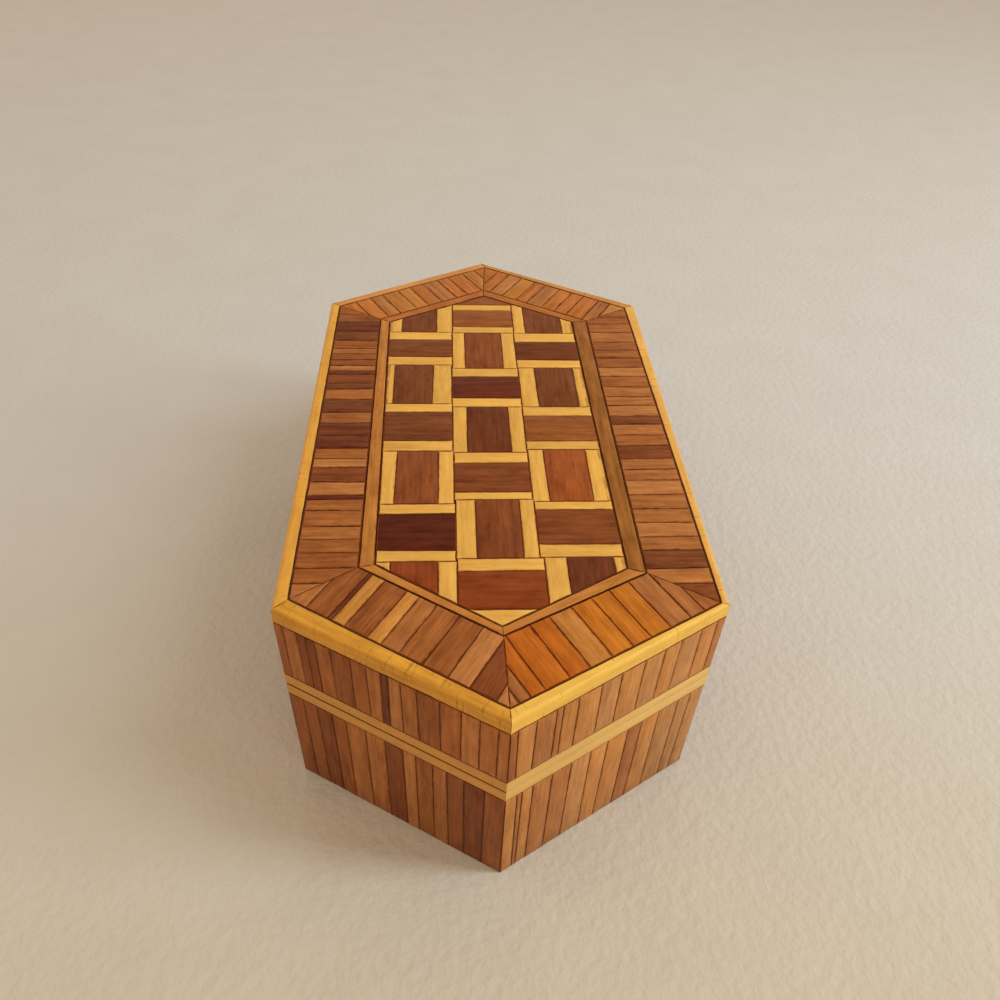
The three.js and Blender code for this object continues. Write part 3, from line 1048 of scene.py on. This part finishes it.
def edge_stain(t, spot, from_edge, stain):
    """Share of the colour that the glue's stain takes along sawn edges, where it comes and goes."""
    ragged = t.strayed(from_edge, grain_pattern(t, spot, "ragged"), STAIN_RAGGED)
    clean = t.ramp(ragged, 0.0, STAIN_WIDTH)
    patches = t.ramp(grain_pattern(t, spot, "patches"), *PATCH_RANGE)
    strength = t.math("MULTIPLY", t.math("MULTIPLY_ADD", patches, STAIN_PATCHES, STAIN_LEAST), stain)
    return t.math("MULTIPLY", t.math("SUBTRACT", 1.0, clean), strength)


def wood_material(name, roughness, sheen, figure, pore, stain, wall_shade, nicks=0.0):
    """Lacquered wood. Its grain follows the piece's own coordinates, and its colour is the strip's tone.
    sheen is the lacquer's gloss. figure and pore are the strength of streaks and pores, stain that of the
    glue's stain along sawn edges, wall_shade that of the shade on the walls of the seams, and nicks that of
    fine dark marks across the grain."""
    material, t, shader = new_material(name)
    grain = t.node("ShaderNodeAttribute", attribute_name="grain").outputs["Vector"]
    strip = t.node("ShaderNodeAttribute", attribute_name="strip").outputs["Vector"]
    tone = t.node("ShaderNodeAttribute", attribute_name="tone").outputs["Color"]
    half_width, lot_a, lot_b = t.split(strip)
    across, _, depth = t.split(grain)
    shift = t.combined(*(t.math("MULTIPLY", lot, by) for lot, by in zip((lot_a, lot_b, lot_a), LOT_SHIFTS)))
    spot = t.vector_math("ADD", grain, shift)
    patterns = {kind: grain_pattern(t, spot, kind) for kind in STREAK_SHARES}
    pores = t.ramp(grain_pattern(t, spot, "pores"), *PORE_RANGE)
    streaks = 0.0
    for kind, share in STREAK_SHARES.items():
        streaks = t.strayed(streaks, patterns[kind], share)
    figured = t.math("MULTIPLY_ADD", t.split(tone)[0], -LIGHT_WOOD_LOSS, DARK_WOOD_FIGURE)
    value = t.math("MULTIPLY_ADD", t.math("MULTIPLY", streaks, figured), figure, 1.0)
    value = t.math("MULTIPLY_ADD", t.math("MULTIPLY", pores, figured), -pore, value)
    from_edge = t.math("SUBTRACT", half_width, t.math("ABSOLUTE", across))
    value = t.math("MULTIPLY", value, t.math("SUBTRACT", 1.0, edge_stain(t, spot, from_edge, stain)))
    surface = t.ramp(depth, *WALL_RANGE)
    value = t.math("MULTIPLY", value, t.math("MULTIPLY_ADD", surface, wall_shade, 1 - wall_shade))
    if nicks:
        places = t.ramp(patterns["blotch"], *NICK_PLACES)
        marks = t.math("MULTIPLY", t.ramp(grain_pattern(t, spot, "nicks"), *NICK_RANGE), places)
        value = t.math("MULTIPLY", value, t.math("MULTIPLY_ADD", marks, -nicks, 1.0))
    value = t.math("MAXIMUM", value, DARKEST)
    darkening = t.combined(*(t.math("POWER", value, power) for power in CHANNEL_POWERS))
    t.link(t.vector_math("MULTIPLY", tone, darkening), shader.inputs["Base Color"])
    gloss = t.math("MULTIPLY_ADD", patterns["blotch"], GLOSS_SPREAD, roughness - GLOSS_SPREAD / 2)
    t.link(t.math("MULTIPLY_ADD", pores, PORE_DULLNESS, gloss), shader.inputs["Roughness"])
    shader.inputs["Specular IOR Level"].default_value = sheen
    add_relief(t, shader, t.math("MULTIPLY_ADD", pores, -1.0, patterns["fibre"]), *GRAIN_RELIEF)
    return material


def board_material():
    """Plain sanded board, seen underneath and inside."""
    material, t, shader = new_material("plain_board")
    spot = t.node("ShaderNodeTexCoord").outputs["Object"]
    stretched = t.vector_math("MULTIPLY", spot, BOARD_GRAIN)
    t.link(t.mixed(t.noise(stretched, 1.0, BOARD_DETAIL), *BOARD_TONES), shader.inputs["Base Color"])
    shader.inputs["Roughness"].default_value = BOARD_ROUGHNESS
    return material


def dress_boards():
    """The boards keep the frame's own meshes, and get their finish."""
    material = board_material()
    for name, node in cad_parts.items():
        if name.startswith(("base_board", "lid_board", "body_wall", "lid_wall")):
            node.data.materials.clear()
            node.data.materials.append(material)


def cloth_material():
    """Pale cream cloth under the box, warmer in front and greyer behind."""
    material, t, shader = new_material("cream_cloth")
    spot = t.node("ShaderNodeTexCoord").outputs["Object"]
    behind = t.ramp(t.split(spot)[1], *CLOTH_CHANGE)
    near, far = (t.mixed(t.noise(spot, *part["noise"]), *part["tones"]) for part in (NEAR_CLOTH, FAR_CLOTH))
    t.link(t.mixed(behind, near, far), shader.inputs["Base Color"])
    shader.inputs["Roughness"].default_value = CLOTH_ROUGHNESS
    shader.inputs["Specular IOR Level"].default_value = CLOTH_SHEEN
    add_relief(t, shader, t.noise(spot, *CLOTH_NAP), *CLOTH_RELIEF)
    return material


def make_camera():
    """The photograph's view."""
    data = bpy.data.cameras.new("camera")
    data.sensor_fit = "HORIZONTAL"
    data.sensor_width = SENSOR_WIDTH
    data.lens = PHOTO_FOCAL * data.sensor_width
    data.clip_start, data.clip_end = CLIP_RANGE
    camera = add_object("camera", data)
    back = Vector((
        math.sin(CAMERA_AZIMUTH) * math.cos(CAMERA_ELEVATION),
        -math.cos(CAMERA_AZIMUTH) * math.cos(CAMERA_ELEVATION),
        math.sin(CAMERA_ELEVATION),
    ))
    right = (-back).cross(Vector((0, 0, 1))).normalized()
    up = right.cross(-back)
    turned_right = right * math.cos(CAMERA_ROLL) + up * math.sin(CAMERA_ROLL)
    turned_up = up * math.cos(CAMERA_ROLL) - right * math.sin(CAMERA_ROLL)
    spot = (CAMERA_SPOT + Vector((0, 0, TOP))) * MM
    camera.matrix_world = Matrix((
        (turned_right.x, turned_up.x, back.x, spot.x),
        (turned_right.y, turned_up.y, back.y, spot.y),
        (turned_right.z, turned_up.z, back.z, spot.z),
        (0, 0, 0, 1),
    ))
    bpy.context.scene.camera = camera


def make_window():
    """Tall narrow window that faces the box."""
    data = bpy.data.lights.new("window", "AREA")
    data.shape = "RECTANGLE"
    data.size, data.size_y = WINDOW_SIZE
    data.energy = WINDOW_POWER
    data.color = WINDOW_COLOUR
    light = add_object("window", data)
    light.location = WINDOW_SPOT
    light.rotation_mode = "QUATERNION"
    light.rotation_quaternion = (-Vector(WINDOW_SPOT)).to_track_quat("-Z", "Y")


def make_stage():
    """The cloth, the light of the room and the window's."""
    corners = [(x * FLOOR_REACH, y * FLOOR_REACH, 0) for x, y in ((-1, -1), (1, -1), (1, 1), (-1, 1))]
    mesh = bpy.data.meshes.new("floor")
    mesh.from_pydata(corners, [], [(0, 1, 2, 3)])
    mesh.materials.append(cloth_material())
    add_object("floor", mesh)
    world = bpy.data.worlds.new("room")
    bpy.context.scene.world = world
    world.use_nodes = True
    background = world.node_tree.nodes["Background"]
    background.inputs["Color"].default_value = ROOM_COLOUR
    background.inputs["Strength"].default_value = ROOM_STRENGTH
    make_window()
    bpy.context.scene.view_settings.view_transform = "Standard"


make_camera()
make_stage()
blank_trees = {
    "strip": blank_tree("veneer_blank", STRIP_ROUNDING_STEPS),
    "edging": blank_tree("edging_blank", EDGING_ROUNDING_STEPS),
}
strip_wood = wood_material(
    "side_strip_wood", roughness=0.46, sheen=0.12, figure=0.55, pore=0.16, stain=0.32, wall_shade=0.25,
)
inlay_wood = wood_material(
    "inlay_wood", roughness=0.42, sheen=0.07, figure=0.6, pore=0.2, stain=0.48, wall_shade=0.35,
)
light_wood = wood_material(
    "light_wood", roughness=0.4, sheen=0.2, figure=0.3, pore=0.06, stain=0.45, wall_shade=0.93,
)
edging_wood = wood_material(
    "edging_wood", roughness=0.38, sheen=0.25, figure=0.6, pore=0.06, stain=0.45, wall_shade=0.0, nicks=0.3,
)
tile_wood = wood_material(
    "tile_wood", roughness=0.42, sheen=0.07, figure=0.55, pore=0.2, stain=0.3, wall_shade=0.25,
)
make_side_rows(blank_trees, strip_wood)
make_crossband(blank_trees, inlay_wood)
make_stringing(blank_trees, inlay_wood)
make_edging(blank_trees, edging_wood)
make_joint_bands(blank_trees, light_wood)
make_tiles(blank_trees, tile_wood)
dress_boards()
